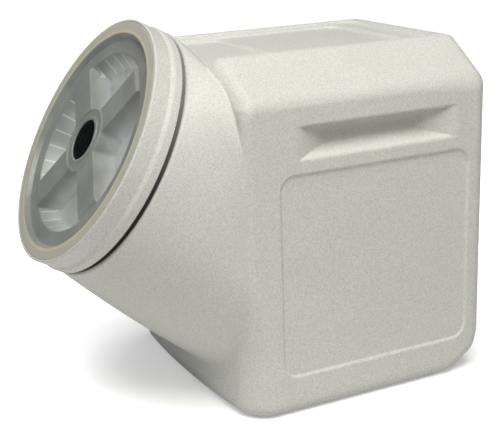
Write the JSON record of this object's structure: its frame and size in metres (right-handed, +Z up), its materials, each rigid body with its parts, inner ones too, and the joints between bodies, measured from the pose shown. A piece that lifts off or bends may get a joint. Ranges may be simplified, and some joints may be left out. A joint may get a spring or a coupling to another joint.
{
  "type": "dry food storage container",
  "caption": "Boxy speckled plastic pet food storage container with a tilted round mouth, push-fit threaded collar and dished screw lid with a cross of raised grip spokes.",
  "frame": {"origin": "centre of the flat base, on the floor plane; the base mount's point", "axes": "+Z up, X across the width, the tilted mouth faces -Y and leans up; YZ is the plane of symmetry of the container"},
  "size_m": [0.362, 0.5678, 0.4897],
  "materials": {
    "shell": "blow-moulded polyethylene, light warm grey with a fine granite speckle, satin",
    "lid": "translucent natural polypropylene, grey-green, satin",
    "seal": "soft tan gasket",
    "badge": "plain black disc"
  },
  "bodies": {
    "container": {"container_body": "shell", "collar_ring": "shell", "collar_gasket": "seal"},
    "lid_seal": {"lid_gasket": "seal"},
    "lid": {"spin_lid": "lid", "hub_badge": "badge"}
  },
  "joints": [
    {"name": "lid_rise", "type": "slide", "parent": "container", "child": "lid_seal", "axis": [0, -0.8686, 0.4955], "range_m": [0, 0.036]},
    {"name": "lid_turn", "type": "hinge", "parent": "lid_seal", "child": "lid", "pos_m": [0, -0.30975, 0.35], "axis": [0, -0.8686, 0.4955], "range_deg": [0, 540]}
  ],
  "couplings": [
    {"joint": "lid_rise", "follows": "lid_turn", "m_per_rad": 0.0038197}
  ]
}
